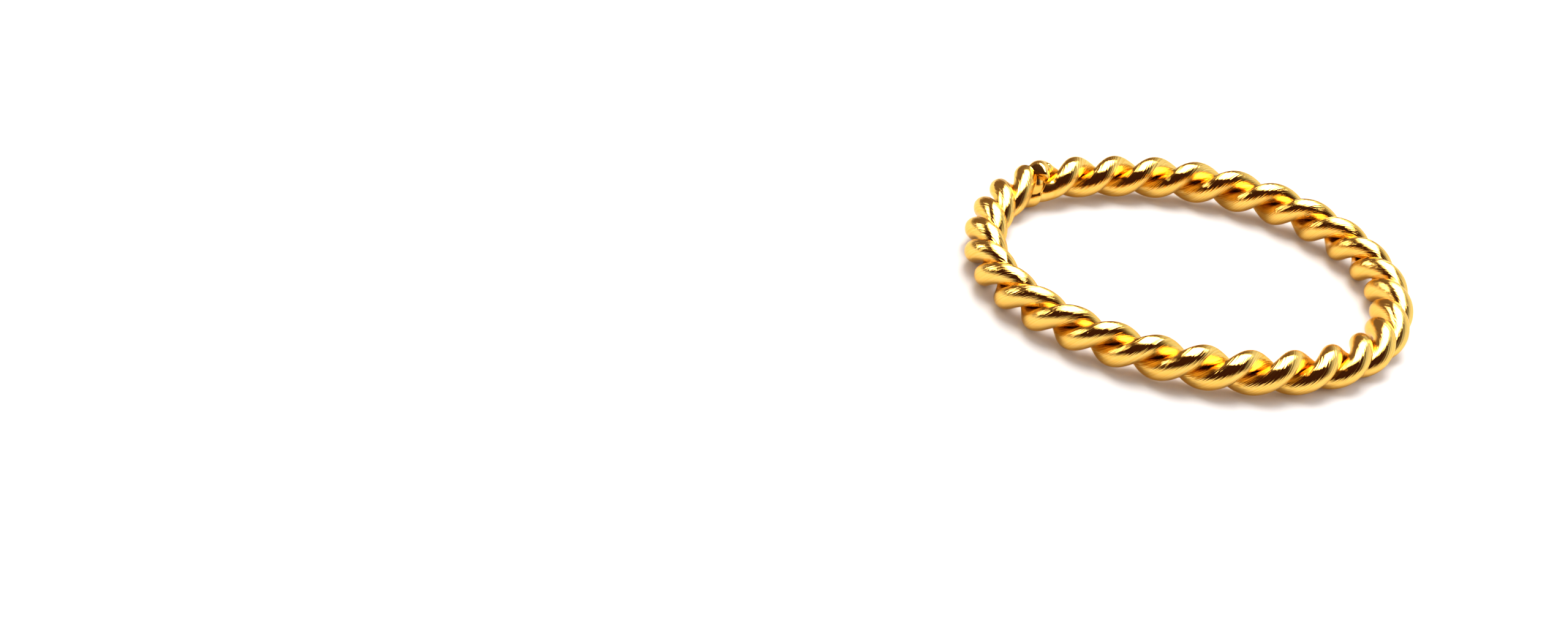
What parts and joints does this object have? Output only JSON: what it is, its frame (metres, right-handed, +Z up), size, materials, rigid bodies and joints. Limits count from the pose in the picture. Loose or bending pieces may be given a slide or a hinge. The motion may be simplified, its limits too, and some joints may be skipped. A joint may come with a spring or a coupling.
{
  "type": "toe ring",
  "caption": "Closed toe ring of twisted round wire, soldered end to end, lying on its side.",
  "frame": {"origin": "middle of the ring in plan, on the surface that it lies on", "axes": "+Z up along the toe hole, +X to the right and +Y away as the picture sees the ring; the solder seam is at 141 degrees from +X towards +Y"},
  "size_m": [0.0188, 0.0182, 0.0021],
  "materials": {
    "polished_gold_plate": "bright polished yellow gold plate on brass wire, with fine lengthwise drawing lines"
  },
  "bodies": {
    "root": {"twisted_ring": "polished_gold_plate"}
  },
  "joints": []
}
